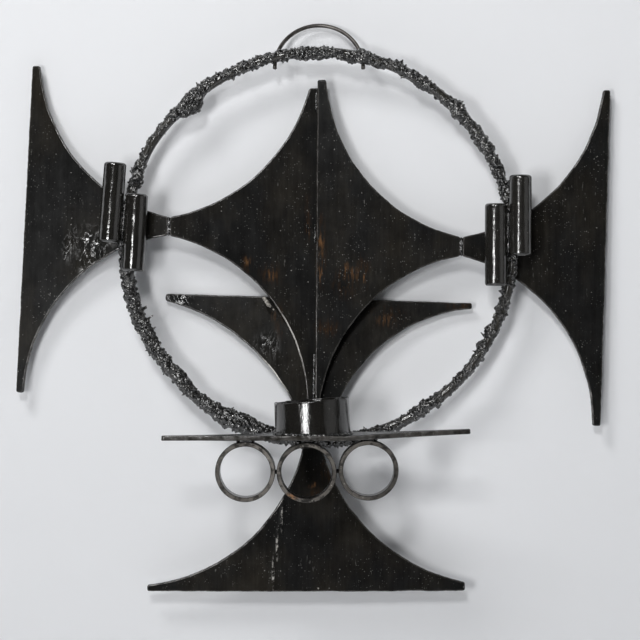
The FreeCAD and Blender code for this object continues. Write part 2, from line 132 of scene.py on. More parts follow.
CUP_FOOT = (-5.8, -101.0, -406.5)
CUP_LEAN = 2.5                  # degrees to the left
CUP_RIM = (-373.6, 4.6)         # height of the rim's middle, and its slope in degrees
CUP_LIP = ((0.0, -0.8), (0.2, -0.3), (0.8, 0.0))    # inset from the wall's face and drop, in mm
CUP_SUNK = 0.4                  # how far the cup reaches into the shelf's weld, in mm

SLICE_FRONT, SLICE_BACK = -137.0, -112.0
SLICE_CHAMFER = 0.45
SLICE_END_BAND = 8.0            # a ring of points lies this far from either sawn end
SLICE_WANDER = 0.18             # how far the pipe strays from a true circle
TACK_RADIUS, TACK_INSET, TACK_SPREAD = 1.9, 4.5, 7
PIPE_SLICES = {                 # centre of each slice, seen from the front, in mm
    "pipe_ring_left": (-70.6, -441.2),
    "pipe_ring_centre": (-11.8, -442.0),
    "pipe_ring_right": (47.4, -439.8),
}

HANGER_CROWN = (-8.6, 2.0)      # y and z of the loop's top
HANGER_TILT = 28.7              # degrees that the loop leans off the wall on its way down
HANGER_HALF_WIDTH = 44.2
HANGER_BEND_DROP, HANGER_LEG_DROP = 50.7, 52.7

# Cell of the melted skin and height of its grain, in mm.
CRUST_SKIN, BEAD_SKIN, CHIP_SKIN = (0.85, 0.7), (0.5, 0.3), (0.4, 0.3)

# Short runs of weld: first end, last end, radius, all in mm.
WELD_RUNS = {
    "left_tip_weld": [((-150.5, -32, -194.0), (-150.5, -32, -210.5), 2.9)],
    "right_tip_weld": [((142.5, -32, -214.0), (142.5, -32, -231.0), 2.9)],
    "spine_weld": [
        ((-2.7, -18.5, -66.0), (-2.9, -19.3, -86.0), 1.6),
        ((-3.8, -23.8, -202.0), (-3.9, -24.4, -219.0), 1.5),
        ((-4.9, -29.2, -330.0), (-5.2, -31.2, -381.0), 2.0),
    ],
    "leaf_spine_weld": [((-3.5, -28.0, -369.0), (-3.5, -28.8, -390.0), 3.8)],
    "shelf_weld": [((-23.5, -44.0, -404.8), (17.5, -44.0, -404.8), 3.8)],
    "bottom_blade_weld": [((-17.0, -33.5, -423.2), (3.0, -33.5, -423.2), 4.6)],
    "left_rod_welds": [
        ((-195.6, -50.0, -213.0), (-192.2, -50.0, -178.0), 2.6),
        ((-195.4, -37.0, -209.0), (-192.8, -37.0, -184.0), 5.6),
    ],
    "right_rod_welds": [
        ((188.0, -49.6, -228.0), (188.0, -49.6, -188.0), 2.4),
        ((188.0, -37.0, -224.0), (188.0, -37.0, -192.0), 5.6),
    ],
    "hanger_welds": [
        ((-44.5, -26.6, -29.5), (-46.0, -31.6, -38.5), 3.0),
        ((44.5, -26.6, -29.5), (46.0, -31.6, -38.5), 3.0),
    ],
}

# Chips of bare, pale slag stuck to the edges: place in mm and size.
CHIPS = (
    ((-54.5, -31.2, -274.5), 1.9), ((-52.6, -31.6, -277.6), 2.2), ((-50.6, -31.6, -280.8), 2.1),
    ((-48.8, -31.4, -282.2), 1.3), ((-52.0, -31.8, -279.4), 1.5), ((-45.6, -31.8, -285.4), 1.0),
    ((80.6, -27.4, -562.6), 2.0), ((82.6, -27.4, -563.4), 1.4), ((-129.5, -27.6, -564.6), 1.2),
    ((-0.6, -31.8, -564.8), 1.2), ((-208.2, -29.2, -166.4), 1.5), ((-207.0, -29.2, -167.0), 1.2),
)


def measure(name, description, default):
    """A length, given in mm."""
    return bpy.props.FloatProperty(name=name, description=description, default=default * MM, unit="LENGTH")


def pigment(name, description, default):
    """A plain colour."""
    return bpy.props.FloatVectorProperty(
        name=name, description=description, default=default, subtype="COLOR", size=3)


class SconceSizes(bpy.types.PropertyGroup):
    """Sizes that a maker might change, written here in mm."""

    plate: measure("Plate", "Thickness of every plate", 4.8)
    lip: measure("Cut lip", "Radius that the torch leaves on a cut edge", 1.1)
    waver: measure("Waver", "How far a torch-cut edge strays", 0.35)
    cell: measure("Cell", "Size of a plate's surface cells", 5.0)
    hoop_radius: measure("Hoop radius", "To the bar's centreline", 194.0)
    hoop_bar: measure("Hoop bar", "Diameter of the hoop's bar", 9.5)
    rod: measure("Rod", "Diameter of the four rods", 22.2)
    cup_outside: measure("Cup", "Outside diameter of the candle cup", 73.0)
    cup_wall: measure("Cup wall", "Wall thickness of the candle cup", 3.05)
    pipe_outside: measure("Pipe slice", "Outside diameter of the pipe slices", 57.2)
    pipe_wall: measure("Pipe wall", "Wall thickness of the pipe slices", 4.2)
    wire: measure("Wire", "Diameter of the hanging loop's wire", 4.0)


class SconceColours(bpy.types.PropertyGroup):
    """Colours that a maker might change."""

    lacquer: pigment("Lacquer", "Black of the plates", (0.0115, 0.0116, 0.0114))
    patina: pigment("Patina", "Brown heat marks under the lacquer", (0.021, 0.0185, 0.0145))
    rust: pigment("Rust", "Orange rust flecks", (0.17, 0.085, 0.036))
    weld: pigment("Weld", "Weld metal", (0.070, 0.069, 0.065))
    rod: pigment("Rods", "Dark drawn bar", (0.016, 0.015, 0.013))
    pipe: pigment("Pipe", "Sawn pipe", (0.12, 0.111, 0.10))
    wire: pigment("Wire", "Wire of the hanging loop", (0.13, 0.12, 0.112))
    chip: pigment("Chips", "Pale slag", (0.42, 0.40, 0.36))
    wall: pigment("Wall", "The painted wall", (0.83, 0.84, 0.86))


def feed(tree, socket, value):
    """Joins a socket to another one, or sets it to a plain value."""
    if isinstance(value, bpy.types.NodeSocket):
        tree.links.new(value, socket)
    else:
        socket.default_value = value


def add_node(tree, kind, inputs=None, **settings):
    """A new node, with its settings made first and its inputs fed after them."""
    made = tree.nodes.new(kind)
    for key, value in settings.items():
        setattr(made, key, value)
    for key, value in (inputs or {}).items():
        feed(tree, made.inputs[key], value)
    return made


# ---------------------------------------------------------------------------
# Finishes
# ---------------------------------------------------------------------------

class Finish:
    """The nodes of one material, added and joined one by one."""

    def __init__(self, name):
        self.material = bpy.data.materials.new(name)
        self.material.use_nodes = True
        self.tree = self.material.node_tree
        self.skin = self.tree.nodes["Principled BSDF"]
        self.place = self.node("ShaderNodeTexCoord").outputs["Object"]

    def node(self, kind, inputs=None, **settings):
        return add_node(self.tree, kind, inputs, **settings)

    def surface(self, values):
        """Feeds the surface itself, by the names of its sockets, and gives the material."""
        for key, value in values.items():
            feed(self.tree, self.skin.inputs[key], value)
        return self.material

    def stretched(self, stretch, middle=(0, 0, 0)):
        """Place on the object, measured from a middle and stretched along the axes."""
        shift = self.node("ShaderNodeVectorMath", {0: self.place, 1: middle}, operation="SUBTRACT")
        grow = self.node("ShaderNodeVectorMath", {0: shift.outputs[0], 1: stretch}, operation="MULTIPLY")
        return grow.outputs[0]

    def grain(self, scale, detail=3.0, rough=0.5, stretch=None, bend=0.0):
        place = self.stretched(stretch) if stretch else self.place
        return self.node("ShaderNodeTexNoise", {
            "Vector": place, "Scale": scale, "Detail": detail, "Roughness": rough, "Distortion": bend,
        }).outputs["Fac"]

    def scaled(self, value, low, high, to_low=0.0, to_high=1.0):
        return self.node("ShaderNodeMapRange", {
            0: value, 1: low, 2: high, 3: to_low, 4: to_high,
        }).outputs[0]

    def maths(self, operation, first, second=0.5):
        return self.node("ShaderNodeMath", {0: first, 1: second}, operation=operation).outputs[0]

    def times(self, first, second):
        return self.maths("MULTIPLY", first, second)

    def most(self, first, second):
        return self.maths("MAXIMUM", first, second)

    def toned(self, colour, tone):
        """The colour made darker or lighter by a tone."""
        return self.node("ShaderNodeVectorMath", {0: colour, 3: tone}, operation="SCALE").outputs[0]

    def blend(self, share, first, last):
        return self.node("ShaderNodeMix", {0: share, 6: first, 7: last}, data_type="RGBA").outputs[2]

    def near(self, middle, reach):
        """1 at a place given in mm, falling to 0 at its reach along each axis."""
        place = self.stretched([1000 / r for r in reach], [m * MM for m in middle])
        far = self.node("ShaderNodeVectorMath", {0: place}, operation="LENGTH").outputs["Value"]
        return self.scaled(far, 1.0, 0.25, 0.0, 1.0)

    def specks(self, scale, size, share):
        """Small dots, in that share of the cells."""
        cells = self.node("ShaderNodeTexVoronoi", {"Vector": self.place, "Scale": scale, "Randomness": 1.0})
        dot = self.scaled(cells.outputs["Distance"], size, size * 0.4)
        pick = self.node("ShaderNodeSeparateColor", {0: cells.outputs["Color"]}).outputs[0]
        return self.times(dot, self.scaled(pick, 1 - share, 1 - share * 0.6))

    def raise_by(self, height, depth, under=None):
        """Bump of that depth in metres, on top of another."""
        inputs = {"Strength": 1.0, "Distance": depth, "Height": height}
        if under:
            inputs["Normal"] = under
        return self.node("ShaderNodeBump", inputs).outputs["Normal"]


def colours():
    return bpy.context.scene.sconce_colours


def rgba(colour, share=1.0):
    return tuple(c * share for c in colour) + (1.0,)


# Brown heat marks and orange flecks on the plates: middle and reach in mm, and strength.
BROWN_MARKS = (
    ((-11, -32, -194), (5, 30, 34), 0.8), ((2, -32, -226), (7, 30, 46), 1.0),
    ((26, -32, -258), (16, 30, 20), 1.0), ((44, -32, -248), (10, 30, 22), 0.8),
    ((8, -32, -304), (16, 30, 12), 1.0), ((-48, -32, -250), (16, 30, 16), 0.8),
    ((-72, -32, -240), (8, 30, 12), 0.7), ((70, -20, -292), (26, 30, 16), 0.7),
    ((145, -10, -282), (20, 30, 8), 1.2), ((14, -34, -444), (16, 30, 24), 1.2),
    ((-40, -30, -300), (8, 30, 24), 0.9), ((-4, -34, -470), (12, 30, 10), 0.8),
)
ORANGE_FLECKS = (
    ((-10, -32, -204), (3.5, 30, 8), 0.9), ((2, -32, -221), (4.5, 30, 14), 1.0),
    ((1, -32, -250), (5, 30, 9), 0.9), ((27.5, -32, -243), (3.5, 30, 7), 1.0),
    ((44.5, -32, -254), (6, 30, 6), 1.0), ((34, -32, -250), (9, 30, 9), 0.6),
    ((-72, -32, -237), (4, 30, 6), 0.8), ((-48, -32, -251), (7, 30, 8), 0.7),
    ((-46, -32, -292), (4, 30, 9), 0.9), ((-5.5, -34, -460.5), (4.5, 30, 3.5), 1.5),
    ((-9, -34, -463), (3, 30, 3), 1.1), ((66, -20, -296), (12, 30, 8), 0.5),
)
# Painted highlights on the cut edges beside the leaf and down the bottom blade's ridge: middles and reach in
# mm.
BRIGHT_EDGES = (((-31, -30, -320), (26, 40, 50)), ((-46, -22, -350), (22, 30, 36)))
RIDGE_SPOTS = ((-37.5, -30, -492), (-42, -30, -522), (-46, -30, -550))
RIDGE_REACH = (1.6, 30, 19)
WING_CRUMPLE = ((-231, -24, -224), (30, 30, 27))
LEAF_TIP_CRUMPLE = ((-143, -12, -276), (16, 30, 9))
LEAF_CRUMPLE = ((-52, -18, -322), (16, 30, 22))
# Pale specks: partly dust, partly painted glints.
DUST_AND_GLINT = (0.44, 0.43, 0.40, 1.0)
# Lighter cut edges: partly bare metal from wear, partly painted edge highlights.
WORN_AND_LIT_EDGE = (0.062, 0.057, 0.052, 1.0)
# Colour of the painted highlights.
PAINTED_HIGHLIGHT = (0.60, 0.58, 0.54, 1.0)
# Colour of the painted glints on the weld.
PAINTED_WELD_GLINT = (0.80, 0.79, 0.76)
BAR_SPECK = (0.55, 0.54, 0.52, 1.0)
SAWN_SPECK = (0.5, 0.48, 0.44, 1.0)
SAWN_RUST = ((-25.5, -137, -464), (8, 30, 5))


def heat_marked(f, colour):
    """The colour with brown heat marks and orange rust flecks over it."""
    c = colours()
    streaky = f.scaled(f.grain(1.0, 5.0, 0.7, (420.0, 420.0, 70.0)), 0.46, 0.62)
    for marks, tint in ((BROWN_MARKS, rgba(c.rust, 0.24)), (ORANGE_FLECKS, rgba(c.rust))):
        total = None
        for middle, reach, strength in marks:
            one = f.times(f.near(middle, reach), strength)
            total = one if total is None else f.most(total, one)
        colour = f.blend(f.times(f.times(total, streaky), 0.8), colour, tint)
    return colour


def dust_and_glint_dots(f):
    """Pale specks and faint scratches in the colour, a few large and many small: partly dust and spatter,
    partly painted glints of tiny bumps.
    """
    few = f.times(f.specks(185.0, 0.125, 0.26), f.scaled(f.grain(31.0, 4.0, 0.7), 0.36, 0.60))
    many = f.times(f.specks(500.0, 0.25, 0.45), f.scaled(f.grain(37.0, 5.0, 0.75), 0.46, 0.66))
    scratches = f.scaled(f.grain(1.0, 2.0, 0.5, (640.0, 640.0, 120.0)), 0.69, 0.77)
    scratches = f.times(scratches, f.scaled(f.grain(27.0, 3.0), 0.45, 0.60))
    return f.most(few, f.times(f.most(many, f.times(scratches, 0.3)), 0.8))


def painted_edge_highlights(f, rim):
    """Painted highlights, where the colour is lightened as if lit: on the cut edges beside the leaf and down
    the bottom blade's ridge.
    """
    lit = f.most(f.near(*BRIGHT_EDGES[0]), f.near(*BRIGHT_EDGES[1]))
    lit = f.times(f.times(rim, lit), f.scaled(f.grain(170.0, 4.0, 0.6), 0.30, 0.50))
    patchy = f.scaled(f.grain(1.0, 3.0, 0.6, (300.0, 300.0, 190.0)), 0.47, 0.57)
    for spot in RIDGE_SPOTS:
        lit = f.most(lit, f.times(f.near(spot, RIDGE_REACH), patchy))
    return lit


def crumples(f):
    """Where the lacquer is crumpled, how its folds rise, and where their sharp creases run."""
    crumpled = f.most(f.near(*WING_CRUMPLE), f.near(*LEAF_TIP_CRUMPLE))
    crumpled = f.most(crumpled, f.times(f.near(*LEAF_CRUMPLE), 0.25))
    crumpled = f.times(crumpled, f.scaled(f.grain(52.0, 3.0, 0.6), 0.36, 0.58))
    wrinkles = f.grain(100.0, 3.0, 0.5, (1.0, 1.0, 0.42), 1.5)
    folds = f.maths("ABSOLUTE", f.maths("SUBTRACT", wrinkles, 0.5))
    return crumpled, folds, f.times(f.scaled(folds, 0.055, 0.005), crumpled)


def lacquered_plate(name):
    """Black lacquer over brown, heat-marked plate, with vertical brush marks, pale specks that are partly
    painted glints, and painted highlights on some cut edges.
    """
    f = Finish(name)
    c = colours()
    patina = f.scaled(f.grain(17.0, 6.0, 0.62, (1.0, 1.0, 0.55)), 0.42, 0.70)
    brushed = f.grain(1.0, 4.0, 0.6, (330.0, 330.0, 14.0))
    cloudy = f.grain(60.0, 5.0, 0.6, (1.0, 1.0, 0.6))
    tone = f.times(f.scaled(brushed, 0.3, 0.7, 0.8, 1.2), f.scaled(cloudy, 0.3, 0.7, 0.7, 1.4))
    colour = heat_marked(f, f.toned(f.blend(patina, rgba(c.lacquer), rgba(c.patina)), tone))
    dots = dust_and_glint_dots(f)
    # pale specks: partly dust, partly painted glints
    colour = f.blend(f.times(dots, 0.85), colour, DUST_AND_GLINT)
    rim = f.node("ShaderNodeAttribute", attribute_name="rim").outputs["Fac"]
    # lighter cut edges: partly bare metal from wear, partly painted edge highlights
    worn_and_lit = f.times(rim, f.scaled(f.grain(130.0, 5.0, 0.7), 0.36, 0.60))
    colour = f.blend(f.times(worn_and_lit, 0.85), colour, WORN_AND_LIT_EDGE)
    # painted highlights on some cut edges and down the ridge
    colour = f.blend(f.times(painted_edge_highlights(f, rim), 0.9), colour, PAINTED_HIGHLIGHT)
    crumpled, folds, creases = crumples(f)
    dull = f.scaled(f.grain(90.0, 5.0, 0.7), 0.3, 0.7, 0.15, 0.30)
    shiny = f.most(f.most(dots, worn_and_lit), f.times(creases, 3.0))
    normal = f.raise_by(f.times(folds, crumpled), 5.0 * MM)
    normal = f.raise_by(f.grain(26.0, 2.0), 0.4 * MM, normal)
    normal = f.raise_by(brushed, 0.015 * MM, normal)
    normal = f.raise_by(f.grain(520.0, 3.0, 0.6), 0.03 * MM, normal)
    normal = f.raise_by(dots, 0.25 * MM, normal)
    return f.surface({
        "Base Color": colour,
        "Roughness": f.times(dull, f.scaled(crumpled, 0.0, 1.0, 1.0, 0.55)),
        "Specular IOR Level": f.scaled(shiny, 0.0, 1.0, 0.045, 0.95),
        "Normal": normal,
    })


def weld_metal(name, tone=1.0):
    """Rough, glittering weld metal under clear lacquer, with painted shade darkening its hollows and painted
    glints as pale specks.
    """
    f = Finish(name)
    c = colours()
    lumps = f.grain(280.0, 2.0, 0.5)
    shade_and_glint_patches = f.scaled(f.grain(34.0, 3.0, 0.6), 0.36, 0.62, 0.25, 1.0)
    # painted shade: the colour darkens in the hollows of the bumps, in patches
    share = f.times(f.scaled(lumps, 0.48, 0.66), shade_and_glint_patches)
    colour = f.blend(share, rgba(c.weld, 0.06 * tone), rgba(c.weld, tone))
    # painted glints: pale specks in the colour
    glints = f.times(f.specks(400.0, 0.36, 0.26), shade_and_glint_patches)
    pits = f.node("ShaderNodeTexVoronoi", {"Vector": f.place, "Scale": 520.0}).outputs["Distance"]
    return f.surface({
        "Base Color": f.blend(f.times(glints, 0.9), colour, rgba(PAINTED_WELD_GLINT, tone)),
        "Metallic": 0.2,
        "Specular IOR Level": 0.95,
        "IOR": 1.65,
        "Roughness": f.scaled(f.grain(150.0, 2.0), 0.3, 0.7, 0.08, 0.24),
        "Normal": f.raise_by(pits, 0.2 * MM, f.raise_by(lumps, 1.7 * MM)),
    })


def drawn_bar(name, tone, flaky, rough, gloss=1.5):
    """Dark lacquered bar: flaky is its unevenness, rough its dullness, gloss its lacquer's index."""
    f = Finish(name)
    c = colours()
    marks = f.grain(1.0, 4.0, 0.6, (620.0, 620.0, 26.0))
    flecks = f.grain(300.0, 4.0, 0.6, (1.0, 1.0, 0.45))
    colour = f.blend(f.scaled(marks, 0.35, 0.65), rgba(c.rod, 0.75 * tone), rgba(c.rod, 1.15 * tone))
    return f.surface({
        "Base Color": f.blend(f.times(f.specks(300.0, 0.14, 0.12), 0.5), colour, BAR_SPECK),
        "Specular IOR Level": 1.0,
        "IOR": gloss,
        "Roughness": f.scaled(flecks, 0.3, 0.7, rough * 0.7, rough * 1.5),
        "Normal": f.raise_by(flecks, flaky * 0.5 * MM, f.raise_by(marks, 0.02 * MM)),
    })


def pipe_wall(name):
    """Dark lacquered pipe."""
    f = Finish(name)
    c = colours()
    grain = f.grain(320.0, 4.0, 0.65)
    return f.surface({
        "Base Color": f.blend(f.scaled(grain, 0.4, 0.7), rgba(c.pipe, 0.22), rgba(c.pipe, 0.9)),
        "Metallic": 0.85,
        "Roughness": f.scaled(grain, 0.3, 0.7, 0.18, 0.42),
        "Normal": f.raise_by(grain, 0.2 * MM),
    })


def sawn_face(name):
    """Satin saw-cut end of a pipe, with a brown cast and a rust spot."""
    f = Finish(name)
    c = colours()
    broad = f.grain(34.0, 4.0, 0.6)
    colour = f.blend(f.scaled(broad, 0.35, 0.65), rgba(c.pipe, 0.5), rgba(c.pipe, 1.25))
    spot = f.times(f.near(*SAWN_RUST), f.scaled(broad, 0.3, 0.5))
    colour = f.blend(f.times(spot, 0.8), colour, rgba(c.rust, 1.6))
    colour = f.blend(f.scaled(f.grain(150.0, 4.0, 0.65), 0.50, 0.60), colour, rgba(c.pipe, 0.16))
    saw_marks = f.grain(1.0, 4.0, 0.6, (150.0, 150.0, 900.0))
    return f.surface({
        "Base Color": f.blend(f.times(f.specks(330.0, 0.2, 0.2), 0.8), colour, SAWN_SPECK),
        "Metallic": 0.7,
        "Roughness": 0.42,
        "Normal": f.raise_by(saw_marks, 0.05 * MM),
    })


def wire_steel(name):
    """Grey-brown wire."""
    f = Finish(name)
    c = colours()
    grain = f.grain(120.0, 5.0, 0.65)
    return f.surface({
        "Base Color": f.blend(f.scaled(grain, 0.35, 0.65), rgba(c.wire, 0.55), rgba(c.wire, 1.2)),
        "Metallic": 0.8,
        "Roughness": 0.36,
        "Normal": f.raise_by(grain, 0.08 * MM),
    })


def pale_slag(name):
    """Pale, chalky chips."""
    f = Finish(name)
    c = colours()
    grain = f.grain(500.0, 4.0, 0.7)
    return f.surface({
        "Base Color": f.blend(f.scaled(grain, 0.35, 0.6), rgba(c.chip, 0.4), rgba(c.chip)),
        "Roughness": 0.5,
        "Normal": f.raise_by(grain, 0.3 * MM),
    })


# Painted light on the wall, lighter towards the right and the top: its tone along X and Z, from and to in m,
# and the tone at each end.
WALL_PAINTED_LIGHT_X = (-0.32, 0.32, 1.015, 1.075)
WALL_PAINTED_LIGHT_Z = (-0.62, 0.05, 0.925, 1.04)


def wall_paint(name):
    """Matt wall paint with painted light, lighter towards the top and the right, seen only from its front so
    that the object's back can be looked at.
    """
    f = Finish(name)
    c = colours()
    split = f.node("ShaderNodeSeparateXYZ", {0: f.place})
    # painted light: the colour is scaled lighter towards the top and the right
    tone = f.times(f.scaled(split.outputs["Z"], *WALL_PAINTED_LIGHT_Z), f.scaled(split.outputs["X"], *WALL_PAINTED_LIGHT_X))
    colour = f.blend(f.grain(1.6, 3.0, 0.5), rgba(c.wall, 0.985), rgba(c.wall, 1.01))
    f.surface({
        "Base Color": f.toned(colour, tone),
        "Roughness": 0.85,
        "Specular IOR Level": 0.2,
        "Normal": f.raise_by(f.grain(180.0, 3.0), 0.03 * MM),
    })
    clear = f.node("ShaderNodeBsdfTransparent")
    behind = f.node("ShaderNodeNewGeometry").outputs["Backfacing"]
    either = f.node("ShaderNodeMixShader", {0: behind, 1: f.skin.outputs[0], 2: clear.outputs[0]})
    feed(f.tree, f.tree.nodes["Material Output"].inputs["Surface"], either.outputs[0])
    return f.material


def floor_paint(name):
    """Plain pale floor."""
    f = Finish(name)
    c = colours()
    colour = f.blend(f.grain(3.0), rgba(c.wall, 0.97), rgba(c.wall))
    return f.surface({"Base Color": colour, "Roughness": 0.7})


def finish_named(name, make, *values):
    """One material of each name, made when it is first asked for."""
    return bpy.data.materials.get(name) or make(name, *values)


# ---------------------------------------------------------------------------
# Shapes
# ---------------------------------------------------------------------------

def new_object(name, mesh):
    made = bpy.data.objects.new(name, mesh)
    bpy.context.scene.collection.objects.link(made)
    return made


def mesh_of(name, points, faces):
    mesh = bpy.data.meshes.new(name)
    mesh.from_pydata(points, [], faces)
    mesh.update()
    return mesh


def band_faces(rows, sides, closed=False):
    """Four-sided faces between rings of points, and back to the first ring where they are closed."""
    faces = []
    for row in range(rows if closed else rows - 1):
        here, onwards = row * sides, (row + 1) % rows * sides
        for k in range(sides):
            after = (k + 1) % sides
            faces.append((here + k, here + after, onwards + after, onwards + k))
    return faces


def turn_angles(count):
    """Angles spread evenly round a full turn."""
    return [2 * math.pi * k / count for k in range(count)]


def ring_noise(angle, scale, seed):
    """Noise round a ring that meets itself, with more waves at a larger scale."""
    return noise.noise(Vector((math.cos(angle) * scale, math.sin(angle) * scale, seed)))


def bent_up(x, crank):
    """Rise in mm of a plate that is bent up from a place on, by so many degrees."""
    bend_at, degrees = crank
    return max(0.0, x - bend_at) * math.tan(math.radians(degrees))


def settle(piece, materials, slot, *nodes):
    """Gives a finished piece its materials and hangs it on the frame in place of its plain solids."""
    piece.data.materials.clear()
    for material in materials:
        piece.data.materials.append(material)
    piece.data.polygons.foreach_set("use_smooth", [True] * len(piece.data.polygons))
    if nodes:
        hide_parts(*nodes)
    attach(piece, "root")


def hollow_arc(first, last, radius):
    """Points in mm along the hollow arc from first to last, bowed towards the local origin."""
    middle = (first + last) / 2
    chord = last - first
    inward = Vector((-chord.y, chord.x)).normalized()
    if inward.dot(middle) > 0:
        inward = -inward
    centre = middle - inward * math.sqrt(radius ** 2 - (chord.length / 2) ** 2)
    start = math.atan2(first.y - centre.y, first.x - centre.x)
    turn = math.atan2(last.y - centre.y, last.x - centre.x) - start
    turn = (turn + math.pi) % (2 * math.pi) - math.pi
    count = max(2, int(abs(turn) * radius / 1.4))
    return [
        centre + Vector((math.cos(start + turn * i / count), math.sin(start + turn * i / count))) * radius
        for i in range(count)
    ]


def straight_run(first, last):
    count = max(1, int((last - first).length / 1.6))
    return [first.lerp(last, i / count) for i in range(count)]


def blade_outline(edge, height, neck_at, spec):
    """Closed outline of a blade in mm: x along its straight edge, y towards its neck."""
    half = edge / 2
    half_neck = spec["neck_width"] / 2
    start_blunt, end_blunt = spec["blunt"]
    start_foot, end_foot = Vector((-half, 0)), Vector((half, 0))
    end_tip, start_tip = Vector((half, end_blunt)), Vector((-half, start_blunt))
    neck_end, neck_start = Vector((neck_at + half_neck, height)), Vector((neck_at - half_neck, height))
    points = straight_run(start_foot, end_foot) + straight_run(end_foot, end_tip)
    points += hollow_arc(end_tip, neck_end, spec["radii"][1]) + straight_run(neck_end, neck_start)
    points += hollow_arc(neck_start, start_tip, spec["radii"][0]) + straight_run(start_tip, start_foot)
    for _ in range(2):          # the torch rounds every corner a little
        points = [
            (points[i - 1] + points[i] * 2 + points[(i + 1) % len(points)]) / 4
            for i in range(len(points))
        ]
    return points


def outward(points, i):
    along = points[(i + 1) % len(points)] - points[i - 1]
    return Vector((along.y, -along.x)).normalized()


class BladePlane:
    """How a blade lies in space: along its straight edge, across to its neck, and through it."""

    def __init__(self, spec):
        start, end, neck = (Vector(spec[key]) for key in ("start", "end", "neck"))
        self.along = end - start
        self.edge = self.along.length
        self.along.normalize()
        self.middle = (start + end) / 2
        reach = neck - self.middle
        self.neck_at = reach.dot(self.along)
        self.across = reach - self.along * self.neck_at
        self.height = self.across.length
        self.across.normalize()
        self.through = self.along.cross(self.across)

    def laid_flat(self, x, z):
        """Place on the blade of a point that is given by its x and z in space."""
        off = Vector((x, self.middle.y, z)) - self.middle
        return Vector((off.dot(self.along), off.dot(self.across)))

    def in_space(self, x, y, z):
        return (self.middle + self.along * x + self.across * y + self.through * z) * MM


def lip_profile(lip, half):
    """Inset and height of each row of points across a cut edge, from face to face."""
    rows = [(lip + 0.35, half)]
    for step in range(4):
        angle = math.radians(30 * step)
        rows.append((lip * (1 - math.sin(angle)), half - lip * (1 - math.cos(angle))))
    return rows + [(0.12, 0.0)] + [(inset, -height) for inset, height in reversed(rows)]


def torch_cut_edge(mesh, points, profile, waver, seed):
    """Gives the outline two faces and, between them, a wavering edge whose points are marked as rim."""
    rim = mesh.verts.layers.float.new("rim")
    rings = []
    for row, (inset, z) in enumerate(profile):
        ring = []
        for i, point in enumerate(points):
            stray = waver * noise.noise(Vector((point.x * 0.055, point.y * 0.055, seed)))
            stray += 0.45 * waver * noise.noise(Vector((point.x * 0.31, point.y * 0.31, seed + z * 0.5)))
            place = point + outward(points, i) * (stray * 1.6 - inset)
            vertex = mesh.verts.new((*place, z))
            vertex[rim] = 0.0 if row in (0, len(profile) - 1) else 1.0
            ring.append(vertex)
        rings.append(ring)
    count = len(points)
    for upper, lower in zip(rings, rings[1:]):
        for i in range(count):
            after = (i + 1) % count
            mesh.faces.new((upper[i], lower[i], lower[after], upper[after]))
    mesh.faces.new(rings[0])
    mesh.faces.new(reversed(rings[-1]))


def cut_into_cells(mesh, plane, cell, ridge):
    """Cuts both faces into square cells, and into narrow strips beside a ridge."""
    columns = int(plane.edge / 2 / cell)
    cuts = [((x * cell, 0, 0), (1, 0, 0)) for x in range(-columns, columns + 1)]
    cuts += [((0, y * cell, 0), (0, 1, 0)) for y in range(1, int(plane.height / cell) + 1)]
    if ridge:
        first, _, away = ridge
        cuts += [((*(first + away * 0.8 * k), 0), (*away, 0)) for k in range(-6, 7)]
    for at, square in cuts:
        everything = list(mesh.verts) + list(mesh.edges) + list(mesh.faces)
        bmesh.ops.bisect_plane(mesh, geom=everything, plane_co=at, plane_no=square, dist=1e-4)


def lift_at(x, y, spec, ridge, seed):
    """How far the plate stands off its plane, in mm: its dents, bow, bend and ridge."""
    lift = 0.30 * noise.noise(Vector((x * 0.013, y * 0.013, seed + 7)))
    lift += 0.10 * noise.noise(Vector((x * 0.05, y * 0.05, seed + 9)))
    lift -= spec.get("bow", 0.0) * (1 - (x / 200) ** 2)
    if "crank" in spec:
        lift += bent_up(x, spec["crank"])
    if ridge:
        first, last, away = ridge
        run = last - first
        share = (Vector((x, y)) - first).dot(run) / run.length_squared
        off = (Vector((x, y)) - first).dot(away)
        fade = max(0.0, min(1.0, share * 8 + 0.6)) * max(0.0, min(1.0, (1 - share) * 8 + 1))
        lift -= 0.42 * math.exp(-(off / 2.4) ** 2) * fade
    return lift


def torch_cut_plate(name, spec, seed):
    """Plate with wavering, round-lipped torch-cut edges and a surface that isn't quite flat."""
    sizes = bpy.context.scene.sconce_sizes
    plane = BladePlane(spec)
    points = blade_outline(plane.edge, plane.height, plane.neck_at, spec)
    ridge = None
    if "ridge" in spec:
        first, last = (plane.laid_flat(x, z) for x, z in spec["ridge"])
        ridge = (first, last, Vector((-(last - first).y, (last - first).x)).normalized())
    mesh = bmesh.new()
    profile = lip_profile(sizes.lip / MM, sizes.plate / MM / 2)
    torch_cut_edge(mesh, points, profile, sizes.waver / MM, seed)
    cut_into_cells(mesh, plane, sizes.cell / MM, ridge)
    for vertex in mesh.verts:
        x, y, z = vertex.co
        vertex.co = plane.in_space(x, y, z + lift_at(x, y, spec, ridge, seed))
    bmesh.ops.recalc_face_normals(mesh, faces=mesh.faces)
    data = bpy.data.meshes.new(name)
    mesh.to_mesh(data)
    mesh.free()
    return new_object(name, data)


